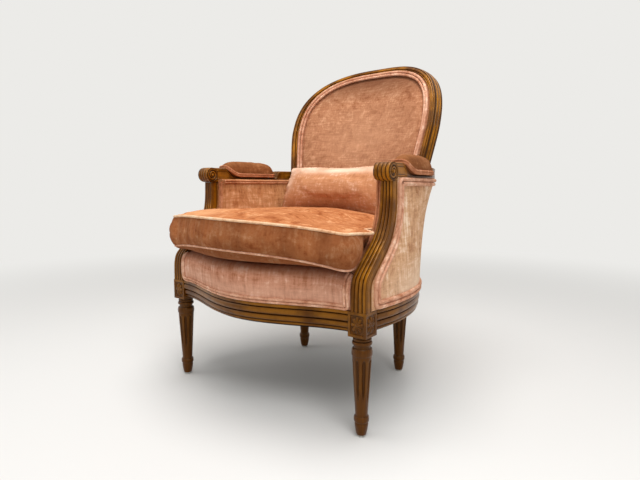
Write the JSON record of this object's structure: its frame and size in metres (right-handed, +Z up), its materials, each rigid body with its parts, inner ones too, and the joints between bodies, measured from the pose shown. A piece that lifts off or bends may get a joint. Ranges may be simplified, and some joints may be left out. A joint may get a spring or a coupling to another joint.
{
  "type": "bergere armchair",
  "caption": "Closed-arm upholstered armchair with carved wood frame, fluted legs, scrolled arms, arched back, loose seat cushion and lumbar pillow.",
  "frame": {"origin": "on the floor, under the middle of the chair's bounding box", "axes": "+X to the right seen from the front, +Y towards the back, +Z up"},
  "size_m": [0.6918, 0.7356, 0.9589],
  "materials": {
    "carved_wood": "antique golden walnut stain, semi-gloss, dark in the grooves",
    "inner_wood": "plain unfinished beech",
    "velvet": "salmon velvet, short worn nap, self piping",
    "jute_webbing": "plain jute",
    "black_cloth": "thin black bottoming cloth",
    "spring_steel": "bare wire",
    "glide": "grey nail-on glide"
  },
  "bodies": {
    "root": {"front_rail": "carved_wood", "back_rail": "carved_wood", "back_crest_rail": "carved_wood", "front_leg_left": "carved_wood", "rear_leg_left": "carved_wood", "side_rail_left": "carved_wood", "arm_support_left": "carved_wood", "arm_left": "carved_wood", "front_leg_right": "carved_wood", "rear_leg_right": "carved_wood", "side_rail_right": "carved_wood", "arm_support_right": "carved_wood", "arm_right": "carved_wood", "corner_block_left": "inner_wood", "stay_rail_left": "inner_wood", "corner_block_right": "inner_wood", "stay_rail_right": "inner_wood", "back_cross_rail": "inner_wood", "arm_pad_left": "velvet", "inside_arm_panel_left": "velvet", "outside_arm_panel_left": "velvet", "arm_pad_right": "velvet", "inside_arm_panel_right": "velvet", "outside_arm_panel_right": "velvet", "inside_back_pad": "velvet", "outside_back_panel": "velvet", "front_border": "velvet", "seat_deck": "velvet", "webbing_lengthwise_1": "jute_webbing", "webbing_lengthwise_2": "jute_webbing", "webbing_lengthwise_3": "jute_webbing", "webbing_crosswise_1": "jute_webbing", "webbing_crosswise_2": "jute_webbing", "webbing_crosswise_3": "jute_webbing", "spring_cover": "jute_webbing", "dust_cover": "black_cloth", "spring_1": "spring_steel", "spring_2": "spring_steel", "spring_3": "spring_steel", "spring_4": "spring_steel", "spring_5": "spring_steel", "spring_6": "spring_steel", "spring_7": "spring_steel", "spring_8": "spring_steel", "spring_9": "spring_steel", "front_glide_left": "glide", "rear_glide_left": "glide", "front_glide_right": "glide", "rear_glide_right": "glide"},
    "seat_cushion_body": {"seat_cushion": "velvet"},
    "lumbar_pillow_body": {"lumbar_pillow": "velvet"}
  },
  "joints": [
    {"name": "seat_cushion_slide", "type": "slide", "parent": "root", "child": "seat_cushion_body", "axis": [0, -1, 0], "range_m": [0, 0.6]},
    {"name": "lumbar_pillow_lift", "type": "slide", "parent": "seat_cushion_body", "child": "lumbar_pillow_body", "axis": [0, 0, 1], "range_m": [0, 0.5]}
  ]
}
